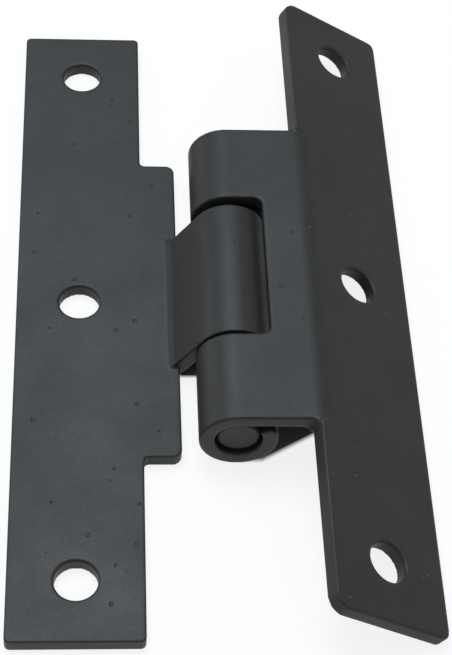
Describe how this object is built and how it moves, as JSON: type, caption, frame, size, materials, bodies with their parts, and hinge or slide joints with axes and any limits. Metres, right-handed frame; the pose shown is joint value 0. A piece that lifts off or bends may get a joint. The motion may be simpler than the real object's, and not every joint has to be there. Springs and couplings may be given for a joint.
{
  "type": "offset cabinet hinge",
  "caption": "H-shaped offset cabinet hinge: a flat leaf and a folded, windowed offset leaf with screw holes, joined by rolled knuckles on a plain pin.",
  "frame": {"origin": "on the frame leaf's back, under the middle screw hole", "axes": "+X across the hinge towards the door leaf, +Y along the pin, +Z out of the frame leaf's face"},
  "size_m": [0.0395, 0.0762, 0.0078],
  "materials": {
    "coated_steel": "dark charcoal coating, satin, with a fine grain",
    "coated_pin": "dark charcoal coating, satin"
  },
  "bodies": {
    "frame": {"frame_leaf": "coated_steel", "hinge_pin": "coated_pin"},
    "door": {"door_leaf": "coated_steel"}
  },
  "joints": [
    {"name": "door_swing", "type": "hinge", "parent": "frame", "child": "door", "pos_m": [0.01503, 0, 0.00375], "axis": [0, -1, 0], "range_deg": [-154, 131]}
  ]
}
